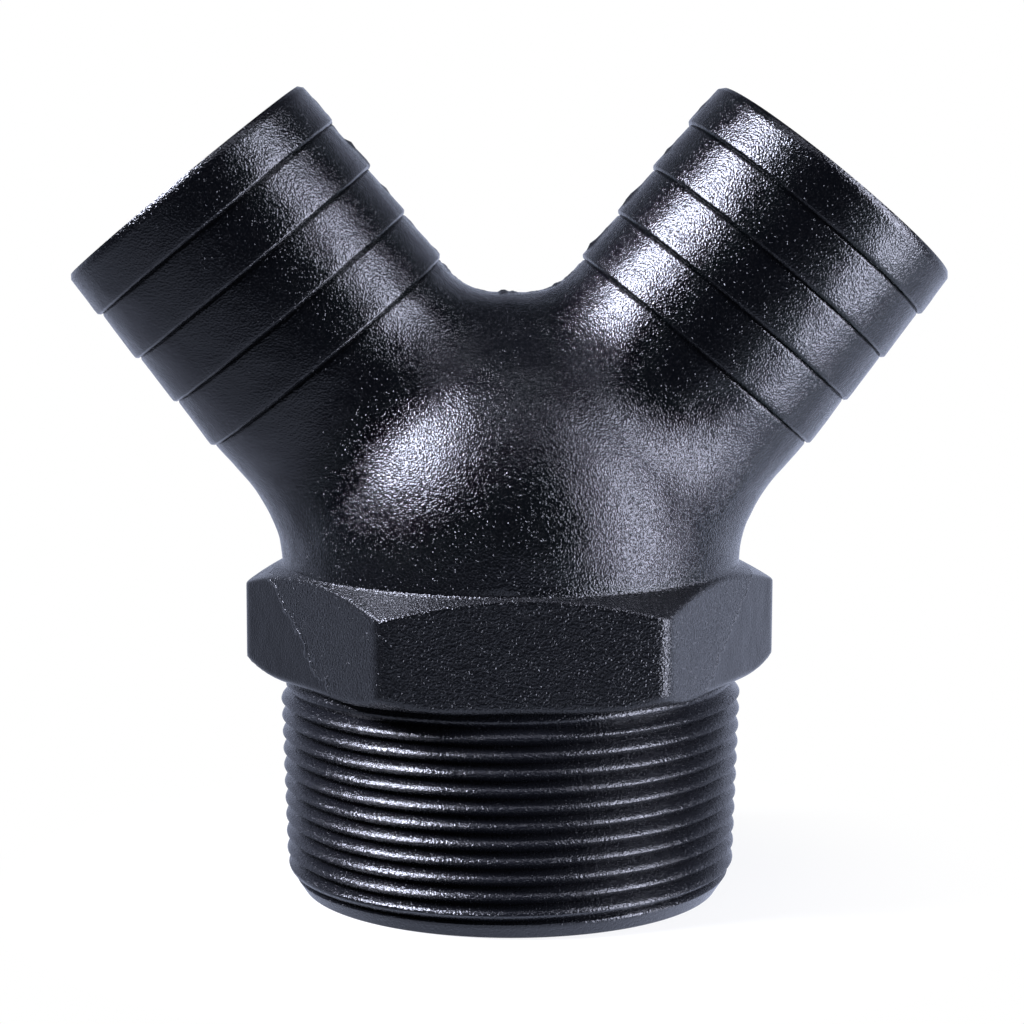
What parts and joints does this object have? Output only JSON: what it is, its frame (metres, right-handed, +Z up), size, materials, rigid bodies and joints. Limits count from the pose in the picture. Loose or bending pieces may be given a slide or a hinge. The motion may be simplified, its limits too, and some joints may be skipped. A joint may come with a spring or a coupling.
{
  "type": "tubing y connector",
  "caption": "Cast wye fitting: male taper pipe thread below a hexagon collar, domed body, splayed saw-tooth hose barbs, open waterway through all ends.",
  "frame": {"origin": "centre of the threaded end's bottom face", "axes": "+Z up the inlet's axis, the two arms in the XZ plane, a wrench flat facing -Y"},
  "size_m": [0.1122, 0.0602, 0.1036],
  "materials": {
    "black_coated_casting": "satin black coating over a sand-cast skin"
  },
  "bodies": {
    "root": {"wye_body": "black_coated_casting"}
  },
  "joints": []
}
